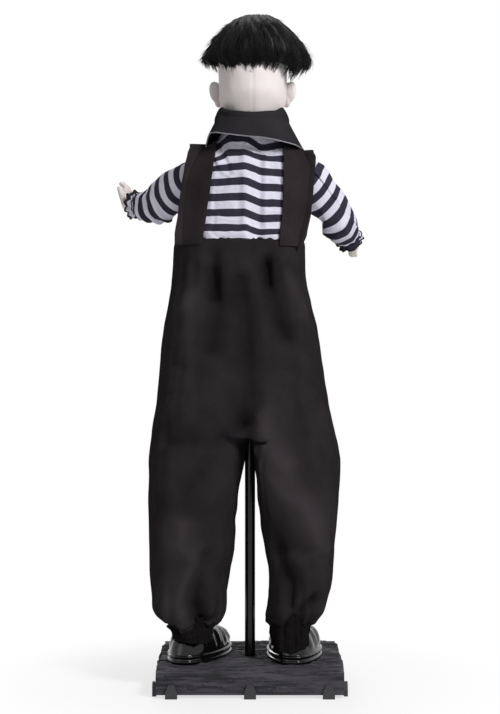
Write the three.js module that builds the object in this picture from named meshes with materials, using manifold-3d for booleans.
// Child-size animatronic boy figure on a pole and plank base.
// Millimetres, +Z up. The origin is on the floor, under the pole's axis, and the figure faces +Y.
import * as THREE from 'three';
import { mergeVertices } from 'three/addons/utils/BufferGeometryUtils.js';
import Module from 'manifold-3d';

const wasm = await Module();
wasm.setup();

// Clearances
const GAP = 0.3;
const BORE_GAP = 0.35;
const CUP_GAP = 1.0;
const SEAM = GAP / 2;

// How far a cutting solid reaches past what it cuts, and far past the whole figure
const OVER = 1;
const FAR = 400;
const SIDES = ['left', 'right'];
const FORE = new THREE.Vector3(0, 1, 0);

// Base
const BASE = { width: 328, depth: 300, top: 45, bottom: 6, wall: 4, wave: 3, waves: 5 };
const GROOVE = { width: 2.4, depth: 1.4, rows: [-112, -68, -22, 31, 74, 118] };
const RIB = { thick: 4, lift: 12 };
const BOSS_RADIUS = 18;
const CLIP = { wide: 21, narrow: 10, height: 24, thick: 7, spread: 137, shoulder: 0.45, pad: 2 };

// Pole
const POLE_RADIUS = 9.5;
const POLE_FOOT = { radius: 24, height: 6 };
const POLE_SPLIT = 480;
const POLE_TOP = 872;
const SLEEVE_WALL = 2.5;
const SLEEVE_LENGTH = 60;

// Legs
const HIP = {
  z: 716, x: 58, socketRadius: 13, socketHeight: 60, barLow: 8, barHeight: 22, barDepth: 14, barEnd: 5,
};
const LEG_TUBE_RADIUS = 8;
const CROTCH_Z = 470;
const WAIST_TOP = 806;
const CLOTH = 4;
const CLOTH_LIFT = 0.5;
const FOLD = 7;
const HEM_Z = 84;
const GATHER = { low: 112, high: 165, depth: 2, count: 8 };
const WAIST_EASE = { low: 740, room: 2 };

// Shoes
const SHOE = { heel: -48, toe: 137, top: 117, ankleHalf: 28, ankleDeep: 35, arch: 0.8 };
// The high front of the shoe: middle in y, half width, half length, lowest and highest z
const INSTEP = { y: 62, half: 40, deep: 50, low: 60, top: 103 };
const ANKLES = {
  left: new THREE.Vector3(-105, -43, 100),
  right: new THREE.Vector3(79, -43, 100),
};
const TOE_TURN = { left: -11, right: -3 };

// Torso
const TORSO = { half: 88, deep: 60, bottom: 812, top: 935, wall: 3, slope: 1.6, rings: [935, 955, 972, 988] };
const SEAT_DEEP = 86;
// The outside of the padded shirt: z, middle in x, half width, half depth
const SHIRT_ROWS = [
  [780, -18, 108, 70], [806, -17, 110, 70], [857, -10, 115, 69], [905, -5, 114, 67],
  [938, 1, 110, 65], [960, 3, 99, 61], [980, 3, 76, 56], [1004, 0, 51, 53],
];
const SHIRT = { bottom: 780, top: 1004, neckHalf: 46, neckDeep: 48 };
const BODY_POINTS = 26;
const SHIRT_POINTS = 28;
// Each brace's outline seen from behind, as x and z
const STRAP = {
  thick: 3.5,
  outline: {
    left: [[-129, WAIST_TOP + GAP], [-78, WAIST_TOP + GAP], [-60, 940], [-58, 985], [-116, 985], [-127, 880]],
    right: [[48, WAIST_TOP + GAP], [98, WAIST_TOP + GAP], [107, 880], [116, 985], [60, 985], [58, 940]],
  },
};
const COLLAR = {
  x: 2, y: 2, topZ: 1046, square: 2.2, armRoom: 2, thick: 4,
  topHalf: 63, topDeep: 70, lowHalf: 93, lowDeep: 84,
};
// How far down the leaf each ring lies, and how much of its flare it has
const COLLAR_ROWS = [[974, 1], [994, 0.74], [1012, 0.4], [1030, 0.12]];

// Mechanism
const BEAM = { z: 918, half: 8, back: -6, front: -1 };
const PIN_RADIUS = 3;
const PIN_REACH = 40;
const SIDE_ROOM = 12;
const SOCKET_CAP = 6;
const EYE_RADIUS = 9;
const EYE_THICK = 5;
const DECK = { z: 955, thick: 5, half: 27, x: 3, back: 24, front: 18, hole: 5 };
const PLATE = { low: 2, thick: 4 };
const MAST_HALF = 30;
const NECK = { x: 3, radius: 8, bottom: 961, top: 1110 };
const GEAR = { teeth: 32, pinionTeeth: 12, module: 1.5, z: 969, thick: 7 };
// A gear tooth: share of a step from its middle, and height over the pitch circle
const TOOTH = [[-0.27, -1.7], [-0.12, 1.1], [0.12, 1.1], [0.27, -1.7]];
const BEARING = { radius: 16, height: 7, floor: 0.4 };
const MOTOR = { radius: 14, length: 38, shaft: 2, shaftDown: 12 };
const SPEAKER = { z: 897, rim: 17, rimFront: 14, magnet: 10, back: 19 };
const BOARD = { half: 27, low: 882, high: 916, thick: 2, chip: [-14, 4, 888, 906], chipHigh: 7 };
const BATTERY = { width: 70, depth: 26, height: 54, doorInset: 3, door: 2.5 };
const SWITCH = { half: 3, near: 8, far: 14, travel: 4, deep: 5, proud: 4 };

// Head
const HEAD = {
  x: 5, y: 4, wall: 3, deepScale: 1.17, flangeZ: 1036, flange: 4, crown: 3, crownShare: 0.3, widest: 62,
};
const NOSE = { radius: 7, z: 1100 };
const EAR = { x: 66, half: 7, deep: 18, low: 1056, high: 1098 };
const FACE_OPENING = { half: 46, y: 40, top: 1134 };
// The head's outside: z and half width
const HEAD_PROFILE = [
  [1028, 39], [1045, 47], [1062, 57], [1090, 62], [1120, 62.5],
  [1148, 59], [1172, 49], [1188, 33], [1195, 16],
];
const WIG = { thick: 16, teeth: 15, tooth: 8, fringe: 14 };
// The outside of the hair: z, lowest x, highest x
const WIG_ROWS = [
  [1108, -74, 102], [1136, -90, 112], [1156, -82, 102], [1178, -68, 86],
  [1200, -46, 64], [1212, -22, 38], [1217, 0, 14],
];

// Arms: shoulder, elbow and wrist points, the direction of the hand and the way across its palm to the thumb
const ARMS = {
  left: {
    shoulder: new THREE.Vector3(-112, 0, BEAM.z),
    elbow: new THREE.Vector3(-172, 55, 878),
    wrist: new THREE.Vector3(-218.5, 101.5, 883),
    hand: new THREE.Vector3(-6, 18, 60),
    across: new THREE.Vector3(-0.25, -1, 0),
  },
  right: {
    shoulder: new THREE.Vector3(107, 0, BEAM.z),
    elbow: new THREE.Vector3(167, 40, 845),
    wrist: new THREE.Vector3(189, 89, 816.5),
    hand: new THREE.Vector3(2, 72, -6),
    across: new THREE.Vector3(0, 0, 1),
  },
};
const SLEEVE = {
  shoulder: 36, elbow: 30, cuff: 22, cloth: 2.6, frill: 7, flare: 3, under: 4, elbowBack: 20,
  lowerUnder: 2, lowerOver: 7, waistAt: 0.55, waist: 26.5,
};
const ROD_RADIUS = 5;
const PIN_HEAD = { radius: 5.5, thick: 2 };
// How much the swept upper sleeve is grown, at its shoulder and at its elbow
const SWEEP_ROOM = { shoulder: 0.6, elbow: 4.6 };
const WRIST_DISC = 6;
const HAND = { wrist: 13, neck: 20, palm: 24, palmRadius: 18, wide: 1.1, long: 1.1, flat: 0.62 };
const FINGER = { radius: 5.2, step: 8.6, root: 4, length: 18, shorter: 2.5, thumb: 22 };
const SHOULDER_SWEEP = [-10, 8, 26, 45];

// Finishes
const finish = (color, roughness, metalness = 0) => (
  new THREE.MeshStandardMaterial({ color, roughness, metalness })
);
const FINISHES = {
  base: finish(0x3c3b3f, 0.8),
  clip: finish(0x333236, 0.6),
  steel: finish(0x27272a, 0.3, 0.9),
  zinc: finish(0xb4b6b8, 0.4, 1),
  shoe: finish(0x101011, 0.2),
  trousers: finish(0x212020, 0.95),
  strap: finish(0x2a2728, 0.9),
  collar: finish(0x2c2a2d, 0.9),
  shirt: finish(0xd7d5e2, 0.95),
  head: finish(0xe2dedd, 0.6),
  hand: finish(0xd9d1ca, 0.5),
  hair: finish(0x151314, 0.5),
  housing: finish(0x1c1c1e, 0.5),
  board: finish(0x1e4a2d, 0.6),
  nylon: finish(0xe8e6df, 0.5),
};

// Solid making
function solidOf(geometry) {
  const bare = geometry.clone();
  for (const name of ['normal', 'uv']) {
    bare.deleteAttribute(name);
  }
  const merged = mergeVertices(bare, 1e-4);
  return new wasm.Manifold(new wasm.Mesh({
    numProp: 3,
    vertProperties: new Float32Array(merged.attributes.position.array),
    triVerts: new Uint32Array(merged.index.array),
  }));
}

function geometryOf(solid) {
  const mesh = solid.getMesh();
  const geometry = new THREE.BufferGeometry();
  geometry.setAttribute('position', new THREE.BufferAttribute(mesh.vertProperties, 3));
  geometry.setIndex(new THREE.BufferAttribute(mesh.triVerts, 1));
  return geometry;
}

function box(low, high) {
  const size = high.map((value, i) => value - low[i]);
  const geometry = new THREE.BoxGeometry(...size);
  geometry.translate(...low.map((value, i) => value + size[i] / 2));
  return solidOf(geometry);
}

function rod(radius, from, to, sides = 12) {
  const geometry = new THREE.CylinderGeometry(radius, radius, from.distanceTo(to), sides);
  const turn = new THREE.Quaternion().setFromUnitVectors(FORE, unit(from, to));
  geometry.applyQuaternion(turn);
  geometry.translate(...from.clone().add(to).multiplyScalar(0.5).toArray());
  return solidOf(geometry);
}

const unit = (from, to) => new THREE.Vector3().subVectors(to, from).normalize();
const along = (point, direction, distance) => point.clone().addScaledVector(direction, distance);

function upright(radius, low, high, x = 0, y = 0, sides = 16) {
  return rod(radius, new THREE.Vector3(x, y, low), new THREE.Vector3(x, y, high), sides);
}

function ball(radius, centre, across = 18, up = 12) {
  const geometry = new THREE.SphereGeometry(radius, across, up);
  geometry.translate(...centre.toArray());
  return solidOf(geometry);
}

// A solid, or a loop-shaped shell, through rings that have as many points each
function loft(rings, closed = false) {
  const count = rings[0].length;
  const points = rings.flat().flatMap((point) => point.toArray());
  const faces = [];
  const spans = closed ? rings.length : rings.length - 1;
  for (let i = 0; i < spans; i += 1) {
    const next = (i + 1) % rings.length;
    for (let j = 0; j < count; j += 1) {
      const k = (j + 1) % count;
      const [a, b, c, d] = [i * count + j, i * count + k, next * count + j, next * count + k];
      faces.push(a, b, d, a, d, c);
    }
  }
  if (!closed) {
    for (const [ring, first] of [[rings[0], 0], [rings.at(-1), (rings.length - 1) * count]]) {
      const centre = ring.reduce((sum, point) => sum.add(point), new THREE.Vector3()).divideScalar(count);
      const index = points.length / 3;
      points.push(...centre.toArray());
      for (let j = 0; j < count; j += 1) {
        const pair = [first + j, first + ((j + 1) % count)];
        faces.push(...(first === 0 ? [pair[1], pair[0], index] : [pair[0], pair[1], index]));
      }
    }
  }
  const geometry = new THREE.BufferGeometry();
  geometry.setAttribute('position', new THREE.Float32BufferAttribute(points, 3));
  geometry.setIndex(faces);
  return solidOf(geometry);
}

// An oval ring at one height, where the power squares it off and ripple moves each point outwards
function oval(z, x, y, half, deep, count = 32, power = 2.3, ripple = () => 0) {
  return Array.from({ length: count }, (_, i) => {
    const angle = (2 * Math.PI * i) / count;
    const [c, s] = [Math.cos(angle), Math.sin(angle)];
    const out = ripple(angle, z);
    return new THREE.Vector3(
      x + (half + out) * Math.sign(c) * Math.abs(c) ** (2 / power),
      y + (deep + out) * Math.sign(s) * Math.abs(s) ** (2 / power),
      z,
    );
  });
}

function between(table, z) {
  const i = Math.max(1, table.findIndex((row) => row[0] >= z));
  const [low, high] = [table[i - 1], table[i]];
  const t = THREE.MathUtils.clamp((z - low[0]) / (high[0] - low[0]), 0, 1);
  return low.map((value, k) => THREE.MathUtils.lerp(value, high[k], t));
}

// A stuffed cloth form along z, with folds on its outside
function clothForm(low, high, steps, ring) {
  return loft(Array.from({ length: steps }, (_, i) => ring(low + ((high - low) * i) / (steps - 1))));
}

function drop(parts) {
  return parts.slice(1).reduce((sum, part) => sum.add(part), parts[0]);
}

// Base
function baseOutline(inset) {
  const shape = new THREE.Shape();
  const half = BASE.width / 2 - inset;
  const deep = BASE.depth / 2 - inset;
  const steps = 24;
  const side = (i) => {
    const y = -deep + (2 * deep * i) / steps;
    return [BASE.wave * (Math.cos(BASE.waves * 2 * Math.PI * (i / steps)) - 1), y];
  };
  shape.moveTo(half, -deep);
  for (let i = 1; i <= steps; i += 1) {
    const [dx, y] = side(i);
    shape.lineTo(half + dx / 2, y);
  }
  for (let i = steps; i >= 0; i -= 1) {
    const [dx, y] = side(i);
    shape.lineTo(-half - dx / 2, y);
  }
  return shape;
}

function slabOf(shape, low, high) {
  const geometry = new THREE.ExtrudeGeometry(shape, { depth: high - low, bevelEnabled: false });
  geometry.translate(0, 0, low);
  return solidOf(geometry);
}

const sideSpread = CLIP.spread - (BASE.width - BASE.depth) / 2;

function baseSlab() {
  const ceiling = BASE.top - BASE.wall;
  let slab = slabOf(baseOutline(0), BASE.bottom, BASE.top);
  slab = slab.subtract(slabOf(baseOutline(BASE.wall), BASE.bottom - OVER, ceiling));
  const reachX = BASE.width / 2 - BASE.wall / 2 - BASE.wave;
  const reachY = BASE.depth / 2 - BASE.wall / 2;
  const ribHalf = RIB.thick / 2;
  const ribLow = BASE.bottom + RIB.lift;
  slab = slab.add(box([-reachX, -ribHalf, ribLow], [reachX, ribHalf, ceiling + OVER]));
  slab = slab.add(box([-ribHalf, -reachY, ribLow], [ribHalf, reachY, ceiling + OVER]));
  slab = slab.add(upright(BOSS_RADIUS, POLE_FOOT.height + GAP, ceiling + OVER));
  slab = slab.subtract(upright(POLE_RADIUS + BORE_GAP, 0, BASE.top + OVER));
  for (const side of [-1, 1]) {
    for (const place of [-1, 0, 1]) {
      const y = place * sideSpread;
      const thick = BASE.wall + CLIP.pad;
      const x = (side * (BASE.width - thick)) / 2;
      slab = slab.add(box(
        [x - thick / 2, y - CLIP.wide / 2, BASE.bottom],
        [x + thick / 2, y + CLIP.wide / 2, CLIP.height],
      ));
    }
  }
  for (const y of GROOVE.rows) {
    slab = slab.subtract(box(
      [-BASE.width, y - GROOVE.width / 2, BASE.top - GROOVE.depth],
      [BASE.width, y + GROOVE.width / 2, BASE.top + OVER],
    ));
  }
  return slab;
}

function clipSolid() {
  const shape = new THREE.Shape();
  shape.moveTo(-CLIP.wide / 2, 0);
  shape.lineTo(CLIP.wide / 2, 0);
  shape.lineTo(CLIP.wide / 2, CLIP.height * CLIP.shoulder);
  shape.lineTo(CLIP.narrow / 2, CLIP.height);
  shape.lineTo(-CLIP.narrow / 2, CLIP.height);
  shape.lineTo(-CLIP.wide / 2, CLIP.height * CLIP.shoulder);
  const geometry = new THREE.ExtrudeGeometry(shape, { depth: CLIP.thick, bevelEnabled: false });
  geometry.rotateX(Math.PI / 2);
  return solidOf(geometry);
}

function clips() {
  const found = [];
  for (let side = 0; side < 4; side += 1) {
    for (const place of [-1, 0, 1]) {
      const across = side % 2 === 0;
      const reach = (across ? BASE.depth : BASE.width) / 2;
      const turn = new THREE.Matrix4().makeRotationZ((side * Math.PI) / 2);
      const x = place * (across ? CLIP.spread : sideSpread);
      const move = new THREE.Matrix4().makeTranslation(x, -reach - GAP, 0);
      const geometry = geometryOf(clipSolid());
      geometry.applyMatrix4(turn.multiply(move));
      found.push(geometry);
    }
  }
  return found;
}

// Pole, hip bracket and leg tubes
const footSolid = () => upright(POLE_FOOT.radius, 0, POLE_FOOT.height, 0, 0, 24);
const poleLower = () => upright(POLE_RADIUS, POLE_FOOT.height + GAP, POLE_SPLIT);
const poleUpper = () => upright(POLE_RADIUS, POLE_SPLIT + GAP, POLE_TOP);

function poleSleeve() {
  const outer = POLE_RADIUS + BORE_GAP + SLEEVE_WALL;
  const [low, high] = [POLE_SPLIT - SLEEVE_LENGTH / 2, POLE_SPLIT + SLEEVE_LENGTH / 2];
  return upright(outer, low, high).subtract(upright(POLE_RADIUS + BORE_GAP, low - OVER, high + OVER));
}

const legTop = (side) => new THREE.Vector3(side === 'left' ? -HIP.x : HIP.x, 0, HIP.z);
const legSpace = (side) => rod(LEG_TUBE_RADIUS + BORE_GAP, ANKLES[side], legTop(side));

// The bracket's bar, grown by a distance
function hipBar(grow) {
  const reach = HIP.x + LEG_TUBE_RADIUS + HIP.barEnd + grow;
  const deep = HIP.barDepth + grow;
  const low = HIP.z - HIP.barLow;
  return box([-reach, -deep, low - grow], [reach, deep, low + HIP.barHeight + grow]);
}

function hipBracket() {
  const low = HIP.z - HIP.socketHeight / 2;
  const high = low + HIP.socketHeight;
  return upright(HIP.socketRadius, low, high)
    .add(hipBar(0))
    .subtract(upright(POLE_RADIUS + BORE_GAP, low - OVER, high + OVER))
    .subtract(legSpace('left'))
    .subtract(legSpace('right'));
}

// Room in the stuffing for the pole, its sleeve, the bracket and the leg tubes
function hipSpace() {
  const low = HIP.z - HIP.socketHeight / 2;
  return drop([
    upright(HIP.socketRadius + BORE_GAP, low - GAP, low + HIP.socketHeight + GAP),
    upright(POLE_RADIUS + BORE_GAP, 0, POLE_TOP),
    upright(POLE_RADIUS + SLEEVE_WALL + 2 * BORE_GAP, 0, POLE_SPLIT + SLEEVE_LENGTH / 2 + GAP),
    hipBar(GAP),
    ...SIDES.map(legSpace),
  ]);
}

const legTube = (side) => rod(LEG_TUBE_RADIUS, ANKLES[side], legTop(side));

// Shoes
// Rows are z, half width, heel and toe, with the heel and toe measured from the ankle
const SHOE_ROWS = [
  [45.3, 45, -45, 133], [49, 49, -48, 137], [53, 46.5, -46, 134.5], [57, 49, -48, 137],
  [61, 46.5, -46, 134.5], [65.3, 47, -46, 135], [72, 45, -44, 130], [78, 38, -42, 108],
  [81, 31, -38, 60], [HEM_Z - 0.6, 27, -33, 33], [SHOE.top, 27, -33, 33],
];

function shoeRing(z, half, heel, toe, count = 22) {
  return Array.from({ length: count }, (_, i) => {
    const angle = (2 * Math.PI * i) / count;
    const [c, s] = [Math.cos(angle), Math.sin(angle)];
    const y = (heel + toe) / 2 + ((toe - heel) / 2) * s;
    const share = (y - SHOE.heel) / (SHOE.toe - SHOE.heel);
    const waist = SHOE.arch + (1 - SHOE.arch) * Math.sin(Math.PI * Math.min(1, share * 0.75));
    return new THREE.Vector3(half * waist * Math.sign(c) * Math.abs(c) ** 0.8, y, z);
  });
}

// Room inside the hem for the shoe's ankle
function ankleSpace(side) {
  return placeShoe(side, loft([HEM_Z - 2, SHOE.top + GAP]
    .map((z) => shoeRing(z, SHOE.ankleHalf, -SHOE.ankleDeep, SHOE.ankleDeep))));
}

function placeShoe(side, solid) {
  const geometry = geometryOf(solid);
  geometry.applyMatrix4(new THREE.Matrix4().makeRotationZ(THREE.MathUtils.degToRad(TOE_TURN[side])));
  geometry.translate(ANKLES[side].x, ANKLES[side].y, 0);
  return solidOf(geometry);
}

// The high, rounded front of the upper, which stands clear of the trouser leg
function instep(side) {
  const rings = Array.from({ length: 5 }, (_, i) => {
    const share = i / 4;
    const size = Math.cos((Math.PI / 2) * share * 0.92) ** 0.6;
    const z = THREE.MathUtils.lerp(INSTEP.low, INSTEP.top, share);
    return oval(z, 0, INSTEP.y, INSTEP.half * size, INSTEP.deep * size, 16, 2.2);
  });
  const leg = oval(0, ...legOval(side, HEM_Z, GAP), 24);
  const room = loft([HEM_Z - GAP, SHOE.top].map((z) => leg.map((point) => point.clone().setZ(z))));
  return placeShoe(side, loft(rings)).subtract(room);
}

function shoe(side) {
  const start = along(ANKLES[side], unit(ANKLES[side], legTop(side)), -GAP);
  return placeShoe(side, loft(SHOE_ROWS.map((row) => shoeRing(...row))))
    .add(instep(side))
    .subtract(rod(LEG_TUBE_RADIUS + BORE_GAP, start, legTop(side)));
}

// Trousers: rows are z, lowest x, highest x
const SEAT_ROWS = [
  [470, -182, 158], [521, -174, 150], [606, -166, 136], [692, -153, 119], [778, -139, 103], [806, -136, 99],
];
const LEG_ROWS = {
  left: [
    [HEM_Z, -139, -62], [92, -147, -60], [112, -138, -66], [140, -168, -46], [166, -178, -41],
    [232, -182, -30], [320, -184, -22], [408, -187, -14], [470, -182, -14],
  ],
  right: [
    [HEM_Z, 38, 116], [92, 36, 122], [112, 42, 112], [140, 36, 138], [166, 33, 146],
    [232, 33, 154], [276, 24, 158], [340, 15, 164], [408, 14, 168], [470, 14, 158],
  ],
};
// z, middle in y and half depth of a leg
const LEG_DEEP = [
  [HEM_Z, -43, 44], [112, -42, 37], [140, -38, 58], [200, -25, 74], [320, -10, 82], [470, 0, 86],
];
// The stuffing's folds start and end here
const PLEATS = { low: 60, run: 760 };

// Long pleats that fade towards the ends, on a slow twist
function pleats(count, twist, depth) {
  const fade = (z) => Math.sin((Math.PI * (z - PLEATS.low)) / PLEATS.run);
  return (angle, z) => depth * Math.cos(count * angle + (z / 100) * twist) * fade(z);
}

function trousersSeat() {
  const ripple = pleats(9, 0.5, FOLD);
  const outer = (z) => {
    const [, low, high] = between(SEAT_ROWS, z);
    const top = THREE.MathUtils.smoothstep(z, WAIST_EASE.low, WAIST_TOP);
    const deep = THREE.MathUtils.lerp(SEAT_DEEP, SHIRT_ROWS[0][3] + CLOTH + WAIST_EASE.room, top);
    const fold = (angle) => (ripple(angle, z) - FOLD / 2) * (1 - top);
    return oval(z, (low + high) / 2, 0, (high - low) / 2, deep, 28, 2.3, fold);
  };
  return clothForm(CROTCH_Z + SEAM, WAIST_TOP, 9, outer)
    .subtract(shirtForm(GAP, SHIRT.bottom - GAP))
    .subtract(hipSpace());
}

// Middle in x and y, half width and half depth of a leg at one height, grown by a distance
function legOval(side, z, grow = 0) {
  const [, low, high] = between(LEG_ROWS[side], z);
  const [, y, deep] = between(LEG_DEEP, z);
  return [(low + high) / 2, y, (high - low) / 2 + grow, deep + grow];
}

function trouserLeg(side) {
  const ripple = pleats(7, side === 'left' ? 0.6 : -0.7, FOLD);
  const gather = (z) => 1 - THREE.MathUtils.smoothstep(z, GATHER.low, GATHER.high);
  const outer = (z) => {
    const fold = (a) => ripple(a, z) - FOLD + GATHER.depth * gather(z) * Math.cos(GATHER.count * a);
    return oval(z, ...legOval(side, z), 24, 2.2, fold);
  };
  return clothForm(HEM_Z, CROTCH_Z - SEAM, 13, outer)
    .subtract(legSpace(side))
    .subtract(ankleSpace(side));
}

// Torso and clothes on it
// A body form of any size: plain sides, then shoulders that slope to the neck
function bodyForm(grow, low, high) {
  const rows = [low, ...TORSO.rings, SHIRT.top].filter((z) => z >= low && z < high).concat(high);
  return loft(rows.map((z) => {
    const t = THREE.MathUtils.clamp((z - TORSO.top) / (SHIRT.top - TORSO.top), 0, 1) ** TORSO.slope;
    const half = THREE.MathUtils.lerp(TORSO.half, SHIRT.neckHalf, t) + grow;
    const deep = THREE.MathUtils.lerp(TORSO.deep, SHIRT.neckDeep, t) + grow;
    return oval(z, 0, 0, half, deep, BODY_POINTS);
  }));
}

// The outside of the shirt, grown by a distance, with its lowest ring moved down to low
function shirtForm(grow, low) {
  const ring = ([z, x, half, deep], i) => oval(i ? z : low, x, 0, half + grow, deep + grow, SHIRT_POINTS);
  return loft(SHIRT_ROWS.map(ring));
}

// The space that the upper sleeves sweep through
function armholes(grow) {
  return drop(SIDES.flatMap((side) => {
    const { shoulder, elbow } = ARMS[side];
    const sign = side === 'left' ? 1 : -1;
    const swept = SHOULDER_SWEEP.map((degrees) => {
      const turn = new THREE.Quaternion().setFromAxisAngle(FORE, THREE.MathUtils.degToRad(degrees * sign));
      const end = elbow.clone().sub(shoulder).applyQuaternion(turn).add(shoulder);
      const radii = [SLEEVE.shoulder + grow + SWEEP_ROOM.shoulder, SLEEVE.elbow + grow + SWEEP_ROOM.elbow];
      return cone([shoulder, end], radii);
    });
    return [ball(SLEEVE.shoulder + grow, shoulder), ...swept];
  }));
}

// Everything in front of, or behind, the seam at a depth
function halfSpace(front, y) {
  return front
    ? box([-FAR, y + SEAM, 0], [FAR, FAR, 4 * FAR])
    : box([-FAR, -FAR, 0], [FAR, y - SEAM, 4 * FAR]);
}

function torsoShell(front) {
  return bodyForm(0, TORSO.bottom, TORSO.top)
    .subtract(bodyForm(-TORSO.wall, TORSO.bottom - OVER, TORSO.top + OVER))
    .intersect(halfSpace(front, 0))
    .subtract(armholes(CUP_GAP));
}

function shirtBody() {
  return shirtForm(0, SHIRT.bottom)
    .subtract(bodyForm(GAP, SHIRT.bottom - OVER, SHIRT.top + OVER))
    .subtract(armholes(CUP_GAP));
}

function strap(side) {
  const shape = new THREE.Shape(STRAP.outline[side].map(([x, z]) => new THREE.Vector2(x, z)));
  const geometry = new THREE.ExtrudeGeometry(shape, { depth: FAR, bevelEnabled: false });
  geometry.rotateX(Math.PI / 2);
  geometry.translate(0, FAR / 2, 0);
  return shirtForm(GAP + STRAP.thick, SHIRT.bottom)
    .subtract(shirtForm(GAP, SHIRT.bottom - OVER))
    .intersect(solidOf(geometry))
    .subtract(armholes(CUP_GAP));
}

// The collar stands on the shirt's neck, folds over at its top and flares down as a wide leaf
function collar() {
  const { lerp } = THREE.MathUtils;
  const ring = (z, half, deep) => oval(z, COLLAR.x, COLLAR.y, half, deep, BODY_POINTS, COLLAR.square);
  const leaf = ([z, flare], grow) => ring(
    z,
    lerp(COLLAR.topHalf, COLLAR.lowHalf, flare) + grow,
    lerp(COLLAR.topDeep, COLLAR.lowDeep, flare) + grow,
  );
  const foot = SHIRT.top + GAP;
  const fold = COLLAR_ROWS.at(-1)[0];
  const stand = (z, grow) => {
    const t = (z - foot) / (COLLAR.topZ - foot);
    const half = lerp(SHIRT.neckHalf, COLLAR.topHalf - COLLAR.thick, t) + grow;
    return ring(z, half, lerp(SHIRT.neckDeep, COLLAR.topDeep - COLLAR.thick, t) + grow);
  };
  const cloth = loft([
    ...COLLAR_ROWS.map((row) => leaf(row, 0)),
    leaf([COLLAR.topZ, 0], 0),
    stand(COLLAR.topZ, CLOTH_LIFT),
    stand(fold, CLOTH_LIFT),
    stand(foot, CLOTH_LIFT),
    stand(foot, CLOTH_LIFT + COLLAR.thick),
    stand(fold, COLLAR.thick),
    ...COLLAR_ROWS.map((row) => leaf(row, -COLLAR.thick)).reverse(),
  ], true);
  return cloth.subtract(armholes(COLLAR.armRoom));
}

// Mechanism
const lug = (side) => rod(
  EYE_RADIUS,
  along(ARMS[side].shoulder, FORE, BEAM.back),
  along(ARMS[side].shoulder, FORE, BEAM.front),
);

// A pole socket, a plate across the shells, a mast, the shoulder bar and the deck for the neck
function chassis() {
  const low = TORSO.bottom + PLATE.low;
  const inset = TORSO.wall + GAP;
  const plate = [low, low + PLATE.thick]
    .map((z) => oval(z, 0, 0, TORSO.half - inset, TORSO.deep - inset, BODY_POINTS));
  const bar = box(
    [ARMS.left.shoulder.x, BEAM.back, BEAM.z - BEAM.half],
    [ARMS.right.shoulder.x, BEAM.front, BEAM.z + BEAM.half],
  );
  const deck = box(
    [DECK.x - DECK.half, -DECK.back, DECK.z],
    [DECK.x + DECK.half, pinionY() + DECK.front, DECK.z + DECK.thick],
  );
  return drop([
    upright(HIP.socketRadius, low, POLE_TOP + SOCKET_CAP),
    loft(plate),
    box([-MAST_HALF, BEAM.back, low + OVER], [MAST_HALF, BEAM.front, DECK.z + OVER]),
    bar,
    deck,
    ...SIDES.map(lug),
  ])
    .subtract(upright(POLE_RADIUS + BORE_GAP, 0, POLE_TOP + GAP))
    .subtract(upright(DECK.hole, DECK.z - OVER, DECK.z + DECK.thick + OVER, NECK.x, pinionY()))
    .subtract(pinBore(ARMS.left.shoulder, FORE))
    .subtract(pinBore(ARMS.right.shoulder, FORE));
}

const pinionY = () => (GEAR.module * (GEAR.teeth + GEAR.pinionTeeth)) / 2;

function gearSolid(teeth, turn, x, y) {
  const pitch = (GEAR.module * teeth) / 2;
  const step = (2 * Math.PI) / teeth;
  const points = Array.from({ length: teeth }, (_, i) => TOOTH.map(([share, height]) => {
    const angle = turn + step * (i + share);
    return new THREE.Vector2(Math.cos(angle), Math.sin(angle)).multiplyScalar(pitch + height);
  })).flat();
  const geometry = geometryOf(slabOf(new THREE.Shape(points), GEAR.z, GEAR.z + GEAR.thick));
  geometry.translate(x, y, 0);
  return solidOf(geometry);
}

function neckGear() {
  const bore = upright(NECK.radius + BORE_GAP, GEAR.z - OVER, GEAR.z + GEAR.thick + OVER, NECK.x);
  return gearSolid(GEAR.teeth, Math.PI / 2, NECK.x, 0).subtract(bore);
}

function motorPinion() {
  const step = (2 * Math.PI) / GEAR.pinionTeeth;
  return gearSolid(GEAR.pinionTeeth, -Math.PI / 2 + step / 2, NECK.x, pinionY())
    .add(upright(MOTOR.shaft, DECK.z - MOTOR.shaftDown, GEAR.z + OVER, NECK.x, pinionY()));
}

function neckMotor() {
  const top = DECK.z - GAP;
  return upright(MOTOR.radius, top - MOTOR.length, top, NECK.x, pinionY())
    .subtract(upright(
      MOTOR.shaft + BORE_GAP, DECK.z - MOTOR.shaftDown - OVER, DECK.z + OVER, NECK.x, pinionY(),
    ));
}

function neckBearing() {
  const low = DECK.z + DECK.thick + GAP;
  return upright(BEARING.radius, low, low + BEARING.height, NECK.x)
    .subtract(upright(NECK.radius + BORE_GAP, low + BEARING.floor, low + BEARING.height + OVER, NECK.x));
}

const headOval = (z, grow) => {
  const [, half] = between(HEAD_PROFILE, z);
  return oval(z, HEAD.x, HEAD.y, half + grow, half * HEAD.deepScale + grow, 24, 2.1);
};

function neckShaft() {
  const flange = [HEAD.flangeZ, HEAD.flangeZ + HEAD.flange]
    .map((z) => headOval(HEAD.flangeZ, -HEAD.wall - GAP).map((point) => point.setZ(z)));
  return upright(NECK.radius, NECK.bottom, NECK.top, NECK.x).add(loft(flange));
}

// Head
function headForm(grow, cut = 0) {
  const rows = HEAD_PROFILE.map(([z]) => headOval(z, grow));
  const crown = headOval(HEAD_PROFILE.at(-1)[0], grow).map((point) => new THREE.Vector3(
    HEAD.x + (point.x - HEAD.x) * HEAD.crownShare,
    HEAD.y + (point.y - HEAD.y) * HEAD.crownShare,
    point.z + HEAD.crown + grow,
  ));
  if (cut) {
    rows.unshift(rows[0].map((point) => point.clone().setZ(point.z - cut)));
  }
  return loft([...rows, crown]);
}

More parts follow.
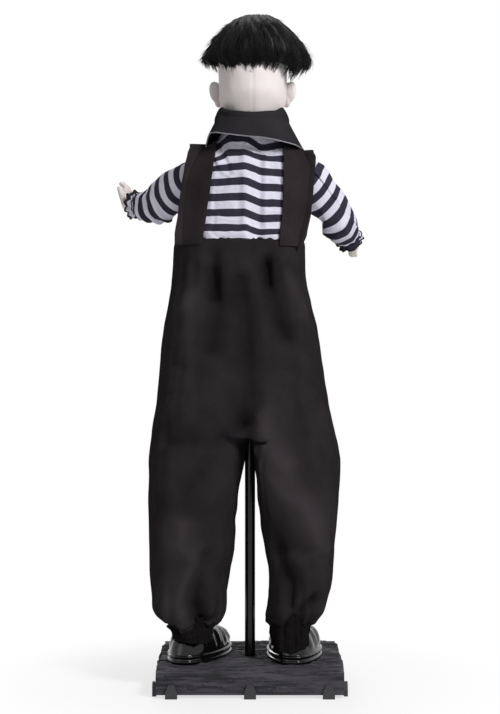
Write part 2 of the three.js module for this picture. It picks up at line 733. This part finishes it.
function headShell(front) {
  const outer = front ? headForm(0).add(faceFeatures()) : headForm(0);
  return outer.subtract(headForm(-HEAD.wall, OVER)).intersect(halfSpace(front, HEAD.y));
}

function faceFeatures() {
  const front = HEAD.y + HEAD.widest * HEAD.deepScale;
  const nose = ball(NOSE.radius, new THREE.Vector3(HEAD.x, front - OVER, NOSE.z), 12, 8);
  const ears = [-1, 1].map((sign) => box(
    [HEAD.x + sign * EAR.x - EAR.half, HEAD.y + GAP, EAR.low],
    [HEAD.x + sign * EAR.x + EAR.half, HEAD.y + EAR.deep, EAR.high],
  ));
  return drop([nose, ...ears]);
}

// Wig: hair over the skull with a jagged hem, lower at the back and the sides than over the face
function wig() {
  const count = WIG.teeth * 2;
  const ring = ([z, low, high], hem = 0) => Array.from({ length: count }, (_, i) => {
    const angle = (2 * Math.PI * i) / count;
    const jag = hem * ((i % 2 ? WIG.tooth : -WIG.tooth) + WIG.fringe * Math.max(0, Math.sin(angle)));
    const half = (high - low) / 2;
    const deep = Math.min(half, HEAD.widest * HEAD.deepScale + WIG.thick);
    const x = (low + high) / 2 + half * Math.cos(angle);
    return new THREE.Vector3(x, HEAD.y + deep * Math.sin(angle), z + jag);
  });
  return loft(WIG_ROWS.map((row, i) => ring(row, i === 0 ? 1 : 0)))
    .subtract(headForm(GAP * 2))
    .subtract(faceOpening());
}

const faceOpening = () => box(
  [HEAD.x - FACE_OPENING.half, HEAD.y + FACE_OPENING.y, 0],
  [HEAD.x + FACE_OPENING.half, FAR, FACE_OPENING.top],
);

// Arms
function cone(points, radii, sides = 16) {
  const along = new THREE.Vector3().subVectors(points[1], points[0]);
  const geometry = new THREE.CylinderGeometry(radii[1], radii[0], along.length(), sides);
  geometry.applyQuaternion(new THREE.Quaternion().setFromUnitVectors(FORE, along.clone().normalize()));
  geometry.translate(...points[0].clone().lerp(points[1], 0.5).toArray());
  return solidOf(geometry);
}

// The elbow turns square to the upper arm and the forearm
const elbowAxis = (arm) => new THREE.Vector3()
  .crossVectors(unit(arm.shoulder, arm.elbow), unit(arm.elbow, arm.wrist)).normalize();

// A turned shell along a line: rows are the distance along it and the outer radius
function turnedShell(from, along, rows, wall, sides = 18) {
  const outer = rows.map(([height, radius]) => new THREE.Vector2(radius, height));
  const inner = rows.map(([height, radius]) => new THREE.Vector2(radius - wall, height)).reverse();
  const geometry = new THREE.LatheGeometry([...outer, ...inner, outer[0]], sides);
  geometry.applyQuaternion(new THREE.Quaternion().setFromUnitVectors(FORE, along));
  geometry.translate(...from.toArray());
  return solidOf(geometry);
}

const onBall = (radius, height) => [height, Math.sqrt(radius ** 2 - height ** 2)];

function sleeveUpper(arm) {
  const length = arm.elbow.distanceTo(arm.shoulder);
  const rows = [
    onBall(SLEEVE.shoulder, -SLEEVE.under), [0, SLEEVE.shoulder],
    [length - SLEEVE.elbowBack, SLEEVE.elbow + CUP_GAP + SLEEVE.cloth],
  ];
  return turnedShell(arm.shoulder, unit(arm.shoulder, arm.elbow), rows, SLEEVE.cloth);
}

function sleeveLower(arm) {
  const length = arm.wrist.distanceTo(arm.elbow);
  const rows = [
    onBall(SLEEVE.elbow, -SLEEVE.lowerUnder), [0, SLEEVE.elbow], onBall(SLEEVE.elbow, SLEEVE.lowerOver),
    [length * SLEEVE.waistAt, SLEEVE.waist], [length - SLEEVE.frill, SLEEVE.cuff],
    [length, SLEEVE.cuff + 1], [length + SLEEVE.frill, SLEEVE.cuff + SLEEVE.flare],
  ];
  return turnedShell(arm.elbow, unit(arm.elbow, arm.wrist), rows, SLEEVE.cloth);
}

const eye = (point, axis, low) => rod(
  EYE_RADIUS,
  along(point, axis, low),
  along(point, axis, low + EYE_THICK),
);

// Room for the other eye and the pin's heads on both sides of an eye
function eyeSides(point, axis, low) {
  const at = (distance) => along(point, axis, distance);
  const high = low + EYE_THICK;
  return rod(EYE_RADIUS + OVER, at(low - SIDE_ROOM), at(low))
    .add(rod(EYE_RADIUS + OVER, at(high), at(high + SIDE_ROOM)));
}

const pinBore = (point, axis) => rod(
  PIN_RADIUS + BORE_GAP,
  along(point, axis, -PIN_REACH),
  along(point, axis, PIN_REACH),
);

// A headed pin, whose shaft runs from low to high
function pin(point, axis, low, high) {
  const at = (distance) => along(point, axis, distance);
  return rod(PIN_RADIUS, at(low - OVER), at(high + OVER))
    .add(rod(PIN_HEAD.radius, at(low - PIN_HEAD.thick), at(low)))
    .add(rod(PIN_HEAD.radius, at(high), at(high + PIN_HEAD.thick)));
}

function upperArm(arm) {
  const axis = elbowAxis(arm);
  const shoulderLow = BEAM.front + GAP;
  const elbowLow = -SEAM - EYE_THICK;
  const from = along(arm.shoulder, FORE, shoulderLow + EYE_THICK / 2);
  const to = along(arm.elbow, axis, elbowLow + EYE_THICK / 2);
  return rod(ROD_RADIUS, from, to, 16)
    .add(eye(arm.shoulder, FORE, shoulderLow))
    .add(eye(arm.elbow, axis, elbowLow))
    .subtract(pinBore(arm.shoulder, FORE))
    .subtract(pinBore(arm.elbow, axis))
    .subtract(eyeSides(arm.elbow, axis, elbowLow))
    .subtract(eyeSides(arm.shoulder, FORE, shoulderLow));
}

function forearm(arm) {
  const axis = elbowAxis(arm);
  const from = along(arm.elbow, axis, SEAM + EYE_THICK / 2);
  const discLow = along(arm.wrist, unit(arm.elbow, arm.wrist), -WRIST_DISC);
  return rod(ROD_RADIUS, from, arm.wrist, 16)
    .add(rod(SLEEVE.cuff - SLEEVE.cloth - 2 * GAP, discLow, arm.wrist, 16))
    .add(eye(arm.elbow, axis, SEAM))
    .subtract(pinBore(arm.elbow, axis))
    .subtract(eyeSides(arm.elbow, axis, SEAM));
}

function hand(arm) {
  const start = along(arm.wrist, unit(arm.elbow, arm.wrist), GAP);
  const neck = along(start, unit(arm.elbow, arm.wrist), HAND.neck);
  const out = arm.hand.clone().normalize();
  const palm = along(neck, out, HAND.palm);
  const wide = arm.across.clone().projectOnPlane(out).normalize();
  const fingers = [-1.5, -0.5, 0.5, 1.5].map((k) => {
    const root = along(palm, wide, k * FINGER.step);
    const tip = along(root, out, FINGER.length - Math.abs(k) * FINGER.shorter);
    return rod(FINGER.radius, along(root, out, -FINGER.root), tip, 8);
  });
  const thumb = rod(FINGER.radius, neck, along(palm, wide, FINGER.thumb), 8);
  const middle = ball(HAND.palmRadius, new THREE.Vector3(), 12, 8).transform([
    ...wide.clone().multiplyScalar(HAND.wide).toArray(), 0,
    ...out.clone().multiplyScalar(HAND.long).toArray(), 0,
    ...new THREE.Vector3().crossVectors(wide, out).multiplyScalar(HAND.flat).toArray(), 0,
    ...neck.clone().lerp(palm, 0.5).toArray(), 1,
  ]);
  return drop([rod(HAND.wrist, start, neck), middle, thumb, ...fingers]);
}

// Electrical pieces
const batteryBack = HIP.socketRadius + GAP;
const batteryLow = TORSO.bottom + PLATE.low + PLATE.thick + GAP;
const batteryTop = batteryLow + BATTERY.height;

function batteryBox() {
  const half = BATTERY.width / 2;
  return box([-half, batteryBack, batteryLow], [half, batteryBack + BATTERY.depth, batteryTop])
    .subtract(box(
      [-SWITCH.half - BORE_GAP, batteryBack + SWITCH.near - BORE_GAP, batteryTop - SWITCH.deep - OVER],
      [SWITCH.half + SWITCH.travel + BORE_GAP, batteryBack + SWITCH.far + BORE_GAP, batteryTop + OVER],
    ));
}

const modeSwitch = () => box(
  [-SWITCH.half, batteryBack + SWITCH.near, batteryTop - SWITCH.deep],
  [SWITCH.half, batteryBack + SWITCH.far, batteryTop + SWITCH.proud],
);

function batteryDoor() {
  const half = BATTERY.width / 2 - BATTERY.doorInset;
  const face = batteryBack + BATTERY.depth + GAP;
  const [low, high] = [batteryLow + BATTERY.doorInset, batteryTop - BATTERY.doorInset];
  return box([-half, face, low], [half, face + BATTERY.door, high]);
}

function speaker() {
  const at = (y) => new THREE.Vector3(0, y, SPEAKER.z);
  return rod(SPEAKER.rim, at(BEAM.front + GAP), at(SPEAKER.rimFront))
    .add(rod(SPEAKER.magnet, at(SPEAKER.rimFront - OVER), at(SPEAKER.back)));
}

function controlBoard() {
  const face = BEAM.back - GAP;
  const [left, right, low, high] = BOARD.chip;
  return box([-BOARD.half, face - BOARD.thick, BOARD.low], [BOARD.half, face, BOARD.high])
    .add(box([left, face - BOARD.chipHigh, low], [right, face - BOARD.thick / 2, high]));
}

// Assembly
const figure = new THREE.Group();

function add(name, solid, material) {
  const geometry = solid.isBufferGeometry ? solid : geometryOf(solid);
  const mesh = new THREE.Mesh(geometry, FINISHES[material]);
  mesh.name = name;
  figure.add(mesh);
}

add('base_slab', baseSlab(), 'base');
clips().forEach((geometry, i) => add(`base_clip_${String(i + 1).padStart(2, '0')}`, geometry, 'clip'));
add('pole_foot', footSolid(), 'steel');
add('pole_lower', poleLower(), 'steel');
add('pole_sleeve', poleSleeve(), 'steel');
add('pole_upper', poleUpper(), 'steel');
add('hip_bracket', hipBracket(), 'steel');
for (const side of SIDES) {
  add(`leg_tube_${side}`, legTube(side), 'zinc');
  add(`shoe_${side}`, shoe(side), 'shoe');
  add(`trouser_leg_${side}`, trouserLeg(side), 'trousers');
}
add('trousers_seat', trousersSeat(), 'trousers');
add('chassis', chassis(), 'zinc');
add('torso_shell_front', torsoShell(true), 'housing');
add('torso_shell_back', torsoShell(false), 'housing');
add('shirt_body', shirtBody(), 'shirt');
add('strap_left', strap('left'), 'strap');
add('strap_right', strap('right'), 'strap');
add('collar', collar(), 'collar');
add('neck_bearing', neckBearing(), 'nylon');
add('neck_motor', neckMotor(), 'zinc');
add('motor_pinion', motorPinion(), 'nylon');
add('neck_gear', neckGear(), 'nylon');
add('neck_shaft', neckShaft(), 'zinc');
add('head_back_shell', headShell(false), 'head');
add('face_shell', headShell(true), 'head');
add('wig', wig(), 'hair');
add('battery_box', batteryBox(), 'housing');
add('battery_door', batteryDoor(), 'housing');
add('mode_switch', modeSwitch(), 'nylon');
add('speaker', speaker(), 'housing');
add('control_board', controlBoard(), 'board');
for (const side of SIDES) {
  const arm = ARMS[side];
  const axis = elbowAxis(arm);
  const pinFront = BEAM.front + 2 * GAP + EYE_THICK;
  add(`shoulder_pin_${side}`, pin(arm.shoulder, FORE, BEAM.back - GAP, pinFront), 'zinc');
  add(`upper_arm_${side}`, upperArm(arm), 'zinc');
  add(`sleeve_upper_${side}`, sleeveUpper(arm), 'shirt');
  add(`elbow_pin_${side}`, pin(arm.elbow, axis, -GAP * 1.5 - EYE_THICK, GAP * 1.5 + EYE_THICK), 'zinc');
  add(`forearm_${side}`, forearm(arm), 'zinc');
  add(`sleeve_lower_${side}`, sleeveLower(arm), 'shirt');
  add(`hand_${side}`, hand(arm), 'hand');
}

export default figure;
